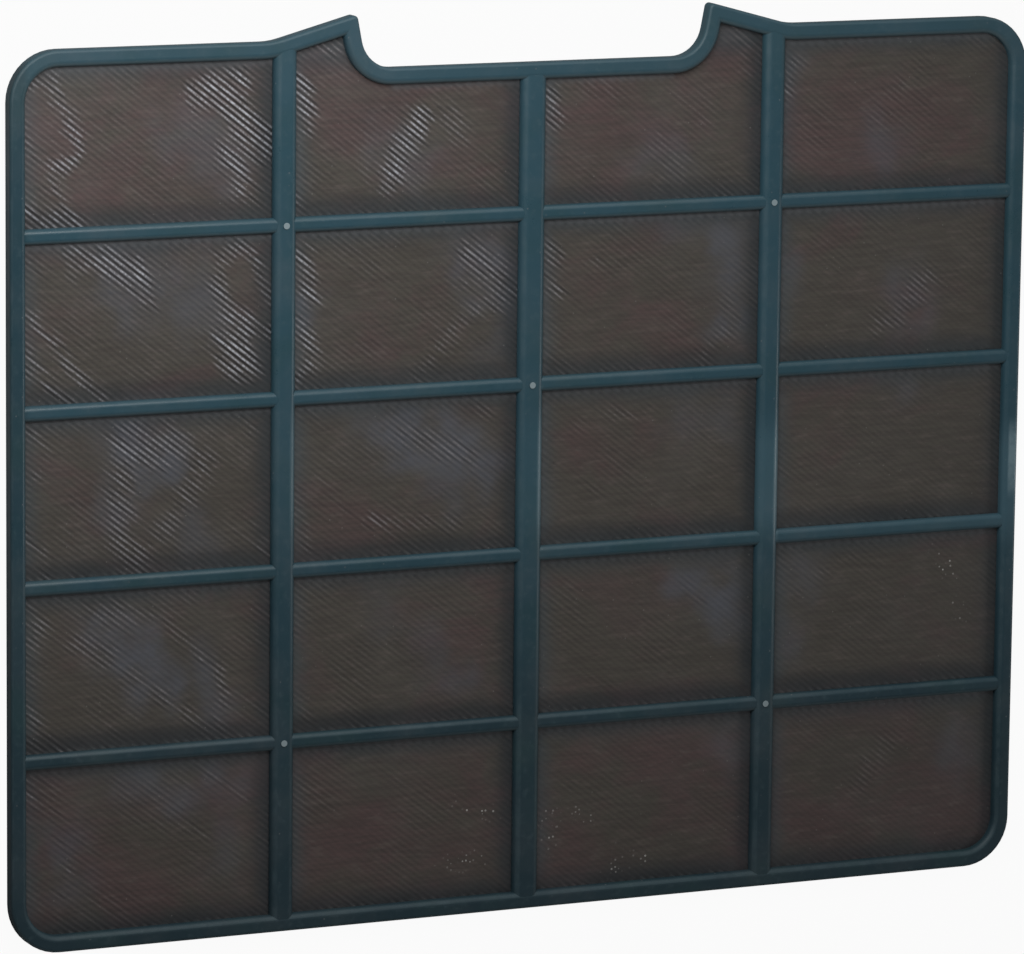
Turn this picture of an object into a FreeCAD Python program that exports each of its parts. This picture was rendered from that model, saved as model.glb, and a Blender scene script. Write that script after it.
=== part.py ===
import FreeCAD, Part
import math
import os
import Sketcher

# Washable mesh pre-filter of a room air purifier.
# A flat moulded frame of an outer band, three upright stiles and four level rails
# holds one sheet of net that is moulded into it. The filter lies on its back:
# X runs across the width, Y up the height towards the notched edge, Z out of the front.
# The origin is under the middle of the overall outline, on the back face.
# All sizes are millimetres.

Vector = FreeCAD.Vector
Rotation = FreeCAD.Rotation

doc = FreeCAD.newDocument("air_purifier_filter")

# Driving dimensions
SIZES = [
    ("plate_width", 380.0, "overall width of the frame"),
    ("plate_height", 306.0, "height of the frame without its horns"),
    ("plate_depth", 4.7, "thickness of the outer band"),
    ("corner_radius", 17.4, "outer corners of the band"),
    ("band_width", 5.8, "width of the outer band"),
    ("outer_shoulder", 1.2, "rounding of the band's outer front edge"),
    ("inner_shoulder", 2.2, "rounding of the band's inner front edge"),
    ("notch_length", 105.6, "straight floor of the notch in the top edge"),
    ("notch_depth", 10.1, "depth of the notch below the top edge"),
    ("notch_radius", 11.5, "hollow corners of the notch"),
    ("horn_rise", 8.0, "height of the horns above the top edge"),
    ("horn_stand_off", 14.3, "end of the notch's floor to the middle of a horn's tip"),
    ("horn_tip_radius", 1.6, "rounding of a horn's tip"),
    ("horn_run", 32.9, "middle of a horn's tip to the foot of its slope"),
    ("horn_foot_radius", 25.0, "hollow rounding at the foot of a horn's slope"),
    ("side_bay", 98.5, "outer edge to the middle of the nearest stile"),
    ("stile_width", 8.4, "width of the two outer stiles"),
    ("middle_stile_width", 9.4, "width of the middle stile"),
    ("stile_height", 4.6, "crest of the stiles above the back"),
    ("stile_shoulder", 2.8, "rounding of a stile's front edges"),
    ("bottom_bay", 66.0, "bottom edge to the middle of the lowest rail"),
    ("top_bay", 62.1, "top edge to the middle of the highest rail"),
    ("rail_width", 5.2, "width of the rails"),
    ("rail_height", 4.1, "crest of the rails above the back"),
    ("rail_shoulder", 1.9, "rounding of a rail's front edges"),
    ("gate_radius", 1.1, "radius of a moulding gate mark"),
    ("gate_rise", 0.3, "height of a gate mark above the stile's crest"),
    ("sheet_back", 0.6, "plastic behind the net"),
    ("sheet_thickness", 0.85, "thickness of the net over its threads"),
    ("sheet_margin", 2.0, "plastic outside the edge of the net"),
    ("sheet_clearance", 0.04, "room round the net in its slot"),
    ("thread_pitch", 1.75, "spacing of the threads, which lie side by side"),
    ("thread_height", 0.2, "height of a thread above the valleys beside it"),
    ("thread_angle", 39.0, "slant of the threads from the X axis, in degrees"),
]

RAIL_COUNT = 4
STILE_SIDES = (-1, 0, 1)
GATE_CROSSINGS = ((-1, 0), (1, 0), (0, 2), (-1, 3), (1, 3))

sheet = doc.addObject("Spreadsheet::Sheet", "Sizes")
for row, (alias, value, meaning) in enumerate(SIZES, start=1):
    sheet.set("A%d" % row, alias)
    sheet.set("B%d" % row, str(value))
    sheet.set("C%d" % row, meaning)
    sheet.setAlias("B%d" % row, alias)
doc.recompute()


def size(alias):
    """Reads one driving dimension."""
    return float(getattr(sheet, alias))


# Places that several pieces share, worked out from the driving dimensions
PLATE_BOTTOM = "-(Sizes.plate_height + Sizes.horn_rise) / 2"
STILE_PITCH = "(Sizes.plate_width / 2 - Sizes.side_bay)"
RAIL_PITCH = "((Sizes.plate_height - Sizes.bottom_bay - Sizes.top_bay) / %d)" % (RAIL_COUNT - 1)
TIP_REACH = "(Sizes.notch_length / 2 + Sizes.horn_stand_off)"
TIP_LEVEL = "(Sizes.plate_height + Sizes.horn_rise - Sizes.horn_tip_radius)"
FOOT_REACH = "(%s + Sizes.horn_run)" % TIP_REACH
SLOT_FLOOR = "(Sizes.sheet_back - Sizes.sheet_clearance)"
SLOT_ROOF = "(Sizes.sheet_back + Sizes.sheet_thickness + Sizes.sheet_clearance)"


def rail_place(index):
    """Distance of a rail's middle from the outline's centre line, as an expression."""
    return "%s + Sizes.bottom_bay + %d * %s" % (PLATE_BOTTOM, index, RAIL_PITCH)


# Sketch helpers
def add_line(sketch, start, end):
    return sketch.addGeometry(Part.LineSegment(start, end))


def add_arc(sketch, centre, radius, start, end):
    """Adds the arc that runs anticlockwise from start to end."""
    first = math.atan2(start.y - centre.y, start.x - centre.x)
    last = math.atan2(end.y - centre.y, end.x - centre.x)
    if last < first:
        last += 2 * math.pi
    circle = Part.Circle(centre, Vector(0, 0, 1), radius)
    return sketch.addGeometry(Part.ArcOfCircle(circle, first, last))


def relate(sketch, kind, *arguments):
    return sketch.addConstraint(Sketcher.Constraint(kind, *arguments))


def dimension(sketch, kind, arguments, expression):
    """Adds a measured constraint and ties it to the driving dimensions."""
    index = relate(sketch, kind, *arguments)
    sketch.setExpression("Constraints[%d]" % index, expression)
    return index


def place_x(sketch, element, point, value, expression):
    dimension(sketch, "DistanceX", (-1, 1, element, point, value), expression)


def place_y(sketch, element, point, value, expression):
    dimension(sketch, "DistanceY", (-1, 1, element, point, value), expression)


def between(hollow, hollow_radius, tip, tip_radius, turn):
    """Ends of the straight edge that leaves a hollow arc and runs into a rounded tip.

    The arcs lie on opposite sides of the edge; turn is 1 where the hollow
    one is on its left, and -1 where it is on its right."""
    across = tip - hollow
    lean = math.asin((hollow_radius + tip_radius) / across.Length)
    along = Rotation(Vector(0, 0, 1), math.degrees(turn * lean)).multVec(across)
    along.normalize()
    side = Vector(-along.y, along.x, 0) * turn
    return hollow - side * hollow_radius, tip + side * tip_radius


# Outline of the whole filter, from which every other edge is offset
def draw_outline():
    """The band's outer edge: a rounded plate with a notch between two horns."""
    half = size("plate_width") / 2
    top = size("plate_height")
    corner = size("corner_radius")
    floor = top - size("notch_depth")
    floor_end = size("notch_length") / 2
    hollow = size("notch_radius")
    tip_radius = size("horn_tip_radius")
    foot_radius = size("horn_foot_radius")
    tip_x = floor_end + size("horn_stand_off")
    foot_x = tip_x + size("horn_run")
    tip = Vector(tip_x, top + size("horn_rise") - tip_radius, 0)
    foot = Vector(foot_x, top + foot_radius, 0)
    scoop = Vector(floor_end, floor + hollow, 0)
    slope_start, slope_end = between(foot, foot_radius, tip, tip_radius, -1)
    side_end, side_start = between(scoop, hollow, tip, tip_radius, 1)

    def mirrored(point):
        return Vector(-point.x, point.y, 0)

    sketch = doc.addObject("Sketcher::SketchObject", "outline")
    low_right = Vector(half - corner, corner, 0)
    high_right = Vector(half - corner, top - corner, 0)
    down = Vector(0, -corner, 0)
    up = Vector(0, corner, 0)
    out = Vector(corner, 0, 0)

    bottom = add_line(sketch, mirrored(low_right + down), low_right + down)
    corner_br = add_arc(sketch, low_right, corner, low_right + down, low_right + out)
    right = add_line(sketch, low_right + out, high_right + out)
    corner_tr = add_arc(sketch, high_right, corner, high_right + out, high_right + up)
    top_right = add_line(sketch, high_right + up, Vector(foot_x, top, 0))
    foot_right = add_arc(sketch, foot, foot_radius, slope_start, Vector(foot_x, top, 0))
    slope_right = add_line(sketch, slope_start, slope_end)
    tip_right = add_arc(sketch, tip, tip_radius, slope_end, side_start)
    side_right = add_line(sketch, side_start, side_end)
    scoop_right = add_arc(sketch, scoop, hollow, Vector(floor_end, floor, 0), side_end)
    notch_floor = add_line(sketch, Vector(floor_end, floor, 0), Vector(-floor_end, floor, 0))
    scoop_left = add_arc(
        sketch, mirrored(scoop), hollow, mirrored(side_end), Vector(-floor_end, floor, 0)
    )
    side_left = add_line(sketch, mirrored(side_end), mirrored(side_start))
    tip_left = add_arc(
        sketch, mirrored(tip), tip_radius, mirrored(side_start), mirrored(slope_end)
    )
    slope_left = add_line(sketch, mirrored(slope_end), mirrored(slope_start))
    foot_left = add_arc(
        sketch, mirrored(foot), foot_radius, Vector(-foot_x, top, 0), mirrored(slope_start)
    )
    top_left = add_line(sketch, Vector(-foot_x, top, 0), mirrored(high_right + up))
    corner_tl = add_arc(
        sketch, mirrored(high_right), corner, mirrored(high_right + up), mirrored(high_right + out)
    )
    left = add_line(sketch, mirrored(high_right + out), mirrored(low_right + out))
    corner_bl = add_arc(
        sketch, mirrored(low_right), corner, mirrored(low_right + out), mirrored(low_right + down)
    )

    # Every joint of the outline is smooth; a hollow arc is met at its far end first
    start_point, end_point, centre_point = 1, 2, 3
    path = [bottom, corner_br, right, corner_tr, top_right, foot_right, slope_right]
    path += [tip_right, side_right, scoop_right, notch_floor, scoop_left, side_left]
    path += [tip_left, slope_left, foot_left, top_left, corner_tl, left, corner_bl]
    hollows = (foot_right, scoop_right, scoop_left, foot_left)
    for element, following in zip(path, path[1:] + path[:1]):
        leaves = start_point if element in hollows else end_point
        enters = end_point if following in hollows else start_point
        relate(sketch, "Tangent", element, leaves, following, enters)

    for level in (bottom, top_right, top_left, notch_floor):
        relate(sketch, "Horizontal", level)
    for upright in (right, left):
        relate(sketch, "Vertical", upright)
    relate(sketch, "PointOnObject", bottom, start_point, -1)
    place_x(sketch, right, start_point, half, "Sizes.plate_width / 2")
    place_x(sketch, left, start_point, -half, "-Sizes.plate_width / 2")
    for level in (top_right, top_left):
        place_y(sketch, level, start_point, top, "Sizes.plate_height")
    place_y(sketch, notch_floor, start_point, floor, "Sizes.plate_height - Sizes.notch_depth")
    place_x(sketch, notch_floor, start_point, floor_end, "Sizes.notch_length / 2")
    place_x(sketch, notch_floor, end_point, -floor_end, "-Sizes.notch_length / 2")
    for arc in (corner_br, corner_tr, corner_tl, corner_bl):
        dimension(sketch, "Radius", (arc, corner), "Sizes.corner_radius")
    for arc in (scoop_right, scoop_left):
        dimension(sketch, "Radius", (arc, hollow), "Sizes.notch_radius")
    for arc, side in ((tip_right, 1), (tip_left, -1)):
        dimension(sketch, "Radius", (arc, tip_radius), "Sizes.horn_tip_radius")
        place_x(sketch, arc, centre_point, side * tip_x, "%d * %s" % (side, TIP_REACH))
        place_y(sketch, arc, centre_point, tip.y, TIP_LEVEL)
    for arc, side in ((foot_right, 1), (foot_left, -1)):
        dimension(sketch, "Radius", (arc, foot_radius), "Sizes.horn_foot_radius")
        place_x(sketch, arc, centre_point, side * foot_x, "%d * %s" % (side, FOOT_REACH))

    sketch.setExpression(".Placement.Base.y", PLATE_BOTTOM)
    return sketch


def inset(name, outline, distance):
    """The outline moved inwards by an expression."""
    edge = doc.addObject("Part::Offset2D", name)
    edge.Source = outline
    edge.Mode = "Pipe"
    edge.Join = "Arc"
    edge.setExpression("Value", "-(%s)" % distance)
    return edge


def raise_up(name, edge, bottom, top):
    """A solid with the given edge, between two heights."""
    solid = doc.addObject("Part::Extrusion", name)
    solid.Base = edge
    solid.DirMode = "Custom"
    solid.Dir = Vector(0, 0, 1)
    solid.Solid = True
    solid.setExpression("LengthFwd", top)
    solid.setExpression("LengthRev", "-(%s)" % bottom)
    return solid


# Outer band
def make_band(outline):
    """The ring round the filter, with both of its front edges rounded."""
    plate = raise_up("plate", outline, "0", "Sizes.plate_depth")
    inner_edge = inset("band_inner_edge", outline, "Sizes.band_width")
    hole = raise_up("plate_hole", inner_edge, "0", "Sizes.plate_depth")
    ring = doc.addObject("Part::Cut", "ring")
    ring.Base = plate
    ring.Tool = hole
    doc.recompute()

    band = doc.addObject("PartDesign::Body", "band")
    band.BaseFeature = ring
    doc.recompute()
    depth = size("plate_depth")
    reach = size("band_width") / 2

    def front_edges(shape, on_outside):
        names = []
        border = outline.Shape.copy()
        border.translate(Vector(0, 0, depth))
        for number, edge in enumerate(shape.Edges, start=1):
            box = edge.BoundBox
            level = abs(box.ZMin - depth) < 1e-4 and abs(box.ZMax - depth) < 1e-4
            if level and (edge.distToShape(border)[0] < reach) == on_outside:
                names.append("Edge%d" % number)
        return names

    base = band.Tip
    outer = band.newObject("PartDesign::Fillet", "outer_shoulder")
    outer.Base = (base, front_edges(base.Shape, True))
    outer.setExpression("Radius", "Sizes.outer_shoulder")
    doc.recompute()
    inner = band.newObject("PartDesign::Fillet", "inner_shoulder")
    inner.Base = (outer, front_edges(outer.Shape, False))
    inner.setExpression("Radius", "Sizes.inner_shoulder")
    doc.recompute()
    return band


# Stiles and rails
def draw_rib_section(name, width_alias, kind):
    """Section of a rib: straight sides and a flat crest with rounded edges."""
    half = size(width_alias) / 2
    crest = size(kind + "_height")
    radius = size(kind + "_shoulder")
    flat = half - radius
    wall = crest - radius
    sketch = doc.addObject("Sketcher::SketchObject", name)
    base = add_line(sketch, Vector(-half, 0, 0), Vector(half, 0, 0))
    right = add_line(sketch, Vector(half, 0, 0), Vector(half, wall, 0))
    round_right = add_arc(
        sketch, Vector(flat, wall, 0), radius, Vector(half, wall, 0), Vector(flat, crest, 0)
    )
    top = add_line(sketch, Vector(flat, crest, 0), Vector(-flat, crest, 0))
    round_left = add_arc(
        sketch, Vector(-flat, wall, 0), radius, Vector(-flat, crest, 0), Vector(-half, wall, 0)
    )
    left = add_line(sketch, Vector(-half, wall, 0), Vector(-half, 0, 0))
    relate(sketch, "Coincident", base, 2, right, 1)
    relate(sketch, "Coincident", left, 2, base, 1)
    smooth = (right, round_right, top, round_left, left)
    for element, following in zip(smooth, smooth[1:]):
        relate(sketch, "Tangent", element, 2, following, 1)
    relate(sketch, "Symmetric", base, 1, base, 2, -2)
    relate(sketch, "PointOnObject", base, 1, -1)
    relate(sketch, "Vertical", right)
    relate(sketch, "Vertical", left)
    relate(sketch, "Horizontal", top)
    place_x(sketch, base, 2, half, "Sizes.%s / 2" % width_alias)
    place_y(sketch, top, 1, crest, "Sizes.%s_height" % kind)
    for arc in (round_right, round_left):
        dimension(sketch, "Radius", (arc, radius), "Sizes.%s_shoulder" % kind)
    return sketch


def make_stile(side):
    """One upright rib, as long as the whole outline until it is trimmed."""
    name = {-1: "left_stile", 0: "middle_stile", 1: "right_stile"}[side]
    width_alias = "stile_width" if side else "middle_stile_width"
    section = draw_rib_section(name + "_section", width_alias, "stile")
    section.Placement = FreeCAD.Placement(Vector(0, 0, 0), Rotation(Vector(1, 0, 0), 90))
    section.setExpression(".Placement.Base.x", "%d * %s" % (side, STILE_PITCH))
    section.setExpression(".Placement.Base.y", PLATE_BOTTOM)
    stile = doc.addObject("Part::Extrusion", name)
    stile.Base = section
    stile.DirMode = "Custom"
    stile.Dir = Vector(0, 1, 0)
    stile.Solid = True
    stile.setExpression("LengthFwd", "Sizes.plate_height + Sizes.horn_rise")
    return stile


def make_rail(index):
    """One level rib, as wide as the whole frame until it is trimmed."""
    section = draw_rib_section("rail_section_%d" % (index + 1), "rail_width", "rail")
    section.Placement = FreeCAD.Placement(Vector(0, 0, 0), Rotation(Vector(1, 1, 1), 120))
    section.setExpression(".Placement.Base.y", rail_place(index))
    rail = doc.addObject("Part::Extrusion", "rail_%d" % (index + 1))
    rail.Base = section
    rail.DirMode = "Custom"
    rail.Dir = Vector(1, 0, 0)
    rail.Solid = True
    rail.setExpression("LengthFwd", "Sizes.plate_width / 2")
    rail.setExpression("LengthRev", "Sizes.plate_width / 2")
    return rail


def make_gate_mark(side, index):
    """The small round stub that the mould's gate leaves on a crossing, sunk by its own rise."""
    mark = doc.addObject("Part::Cylinder", "gate_mark")
    mark.setExpression("Radius", "Sizes.gate_radius")
    mark.setExpression("Height", "2 * Sizes.gate_rise")
    mark.setExpression(".Placement.Base.x", "%d * %s" % (side, STILE_PITCH))
    mark.setExpression(".Placement.Base.y", rail_place(index))
    mark.setExpression(".Placement.Base.z", "Sizes.stile_height - Sizes.gate_rise")
    return mark


def make_frame(outline, band):
    """Band, stiles and rails as one moulding, with the slot that the net fills."""
    grid = doc.addObject("Part::MultiFuse", "grid")
    grid.Shapes = [make_stile(side) for side in STILE_SIDES] + [
        make_rail(index) for index in range(RAIL_COUNT)
    ]
    reach = raise_up(
        "grid_reach", inset("grid_end_edge", outline, "Sizes.band_width / 2"),
        "0", "Sizes.plate_depth",
    )
    trimmed = doc.addObject("Part::Common", "trimmed_grid")
    trimmed.Base = grid
    trimmed.Tool = reach
    marks = [make_gate_mark(side, index) for side, index in GATE_CROSSINGS]
    moulding = doc.addObject("Part::MultiFuse", "moulding")
    moulding.Shapes = [band, trimmed] + marks
    moulding.Refine = True
    slot_edge = inset("slot_edge", outline, "Sizes.sheet_margin - Sizes.sheet_clearance")
    slot = raise_up("net_slot", slot_edge, SLOT_FLOOR, SLOT_ROOF)
    frame = doc.addObject("Part::Cut", "filter_frame")
    frame.Base = moulding
    frame.Tool = slot
    frame.Label = "filter_frame"
    return frame


# Net
def threaded_block(name, face_up):
    """A block whose one face is laid with parallel threads, each a low ridge.

    The threads run along the block's X axis, and the crests lie in its own Z = 0 plane."""
    pitch = size("thread_pitch")
    span = math.hypot(size("plate_width"), size("plate_height") + size("horn_rise"))
    near = -span / 2
    count = math.ceil(span / pitch)
    direction = 1 if face_up else -1
    valley = -size("thread_height") * direction
    deep = -size("plate_depth") * direction
    start = -count * pitch / 2
    points = [Vector(near, start, deep), Vector(near, start, valley)]
    for index in range(count):
        root = start + index * pitch
        points.append(Vector(near, root + pitch / 2, 0))
        points.append(Vector(near, root + pitch, valley))
    points += [Vector(near, -start, deep), points[0]]
    profile = Part.Face(Part.makePolygon(points))
    block = doc.addObject("Part::Feature", name)
    block.Shape = profile.extrude(Vector(span, 0, 0))
    crest = size("sheet_back")
    slant = size("thread_angle")
    if face_up:
        crest += size("sheet_thickness")
        slant = -slant
    block.Placement = FreeCAD.Placement(Vector(0, 0, crest), Rotation(Vector(0, 0, 1), slant))
    return block


def make_net(outline):
    """One wall of net whose threads slant one way in front and the other way behind."""
    edge = inset("net_edge", outline, "Sizes.sheet_margin")
    blank = raise_up(
        "net_blank", edge, "Sizes.sheet_back", "Sizes.sheet_back + Sizes.sheet_thickness"
    )
    fronted = doc.addObject("Part::Common", "net_front")
    fronted.Base = blank
    fronted.Tool = threaded_block("front_threads", True)
    net = doc.addObject("Part::Common", "mesh_screen")
    net.Base = fronted
    net.Tool = threaded_block("back_threads", False)
    net.Label = "mesh_screen"
    return net


outline = draw_outline()
doc.recompute()
nodes = [make_frame(outline, make_band(outline)), make_net(outline)]
doc.recompute()

# Checks before anything is written
for item in doc.Objects:
    if "Invalid" in item.State or "Error" in item.State:
        raise RuntimeError("%s did not build: %s" % (item.Label, item.getStatusString()))
for node in nodes:
    if node.Shape.isNull() or not node.Shape.isValid():
        raise RuntimeError("%s has no valid shape" % node.Label)
    if len(node.Shape.Solids) != 1:
        raise RuntimeError("%s is %d solids" % (node.Label, len(node.Shape.Solids)))

os.makedirs("parts", exist_ok=True)
for node in nodes:
    node.Shape.exportStep("parts/%s.step" % node.Label)
    box = node.Shape.BoundBox
    print("%s %.1f x %.1f x %.1f mm" % (node.Label, box.XLength, box.YLength, box.ZLength))
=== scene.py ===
"""Looks of a washable net filter in a thin moulded frame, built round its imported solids.

The filter lies on its back: X runs across its width, Y up its height towards the
notched edge and Z out of its ribbed front. Lengths are metres."""

import math

import bmesh
import bpy
from bpy.props import FloatProperty, FloatVectorProperty, PointerProperty
import numpy as np
from mathutils import Matrix, Vector


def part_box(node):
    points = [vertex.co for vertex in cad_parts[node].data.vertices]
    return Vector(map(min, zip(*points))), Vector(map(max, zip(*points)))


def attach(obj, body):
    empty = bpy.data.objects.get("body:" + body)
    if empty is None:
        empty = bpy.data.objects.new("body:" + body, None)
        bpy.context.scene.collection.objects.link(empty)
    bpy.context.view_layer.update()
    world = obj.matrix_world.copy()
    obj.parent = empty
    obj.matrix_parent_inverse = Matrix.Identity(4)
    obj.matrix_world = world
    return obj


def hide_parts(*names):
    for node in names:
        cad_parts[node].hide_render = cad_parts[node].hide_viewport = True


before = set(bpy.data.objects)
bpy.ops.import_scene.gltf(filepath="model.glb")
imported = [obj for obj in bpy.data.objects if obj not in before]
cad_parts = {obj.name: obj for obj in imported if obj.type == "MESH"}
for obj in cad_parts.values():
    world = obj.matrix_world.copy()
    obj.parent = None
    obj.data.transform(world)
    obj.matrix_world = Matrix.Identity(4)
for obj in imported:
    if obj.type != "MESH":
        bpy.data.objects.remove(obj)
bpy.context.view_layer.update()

bl_info = {
    "name": "Net filter looks",
    "version": (1, 0, 0),
    "blender": (4, 5, 0),
    "location": "3D View > Sidebar > Net Filter",
    "description": "Builds the net and the finishes of a moulded net filter",
    "category": "Object",
}

FRAME_NODE = "filter_frame"
NET_NODE = "mesh_screen"
PLATE_LOW, PLATE_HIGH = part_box(FRAME_NODE)
NET_LOW, NET_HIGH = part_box(NET_NODE)

# Sizes of the moulding
PLATE_HEIGHT = 0.306
CORNER_RADIUS = 0.0174
BAND_WIDTH = 0.0058
BAND_DEPTH = 0.0047
SIDE_BAY = 0.0985
BOTTOM_BAY = 0.066
RAIL_PITCH = 0.0593
RAIL_COUNT = 4
RAIL_HALF = 0.0026
OUTER_STILE_HALF = 0.0042
MIDDLE_STILE_HALF = 0.0047
NOTCH_DEPTH = 0.0101
NOTCH_RADIUS = 0.0115
NOTCH_STRAIGHT = 0.0528
HORN_FOOT = 0.0967
HORN_SLOPE = math.tan(math.radians(15.3))

# Middle lines of the upright and level ribs, with the band's own sides first and last,
# and the inner edge of the top band, which is lower at the notch
SIDE_MIDDLE = PLATE_HIGH.x - BAND_WIDTH / 2
STILE_MIDDLE = PLATE_HIGH.x - SIDE_BAY
STILES = (-SIDE_MIDDLE, -STILE_MIDDLE, 0.0, STILE_MIDDLE, SIDE_MIDDLE)
STILE_HALF = (
    BAND_WIDTH / 2, OUTER_STILE_HALF, MIDDLE_STILE_HALF, OUTER_STILE_HALF, BAND_WIDTH / 2,
)
BOTTOM = PLATE_LOW.y
TOP = BOTTOM + PLATE_HEIGHT
RAILS = (
    BOTTOM + BAND_WIDTH / 2,
    *(BOTTOM + BOTTOM_BAY + index * RAIL_PITCH for index in range(RAIL_COUNT)),
    TOP - BAND_WIDTH / 2,
)
BAND_EDGE = TOP - BAND_WIDTH
NOTCH_EDGE = BAND_EDGE - NOTCH_DEPTH

# How far inside the moulding's outline the net ends, where the moulding hides its edge
NET_MARGIN = 0.003

# The camera at the photograph's viewing angle
CAMERA_PLACE = Vector((-0.9133, 0.3796, 2.0176))
CAMERA_RIGHT = Vector((0.91263, 0.01091, 0.40865))
CAMERA_UP = Vector((0.06015, 0.98518, -0.16063))
CAMERA_LENS = 229.03
CAMERA_SENSOR = 36.0

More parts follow.
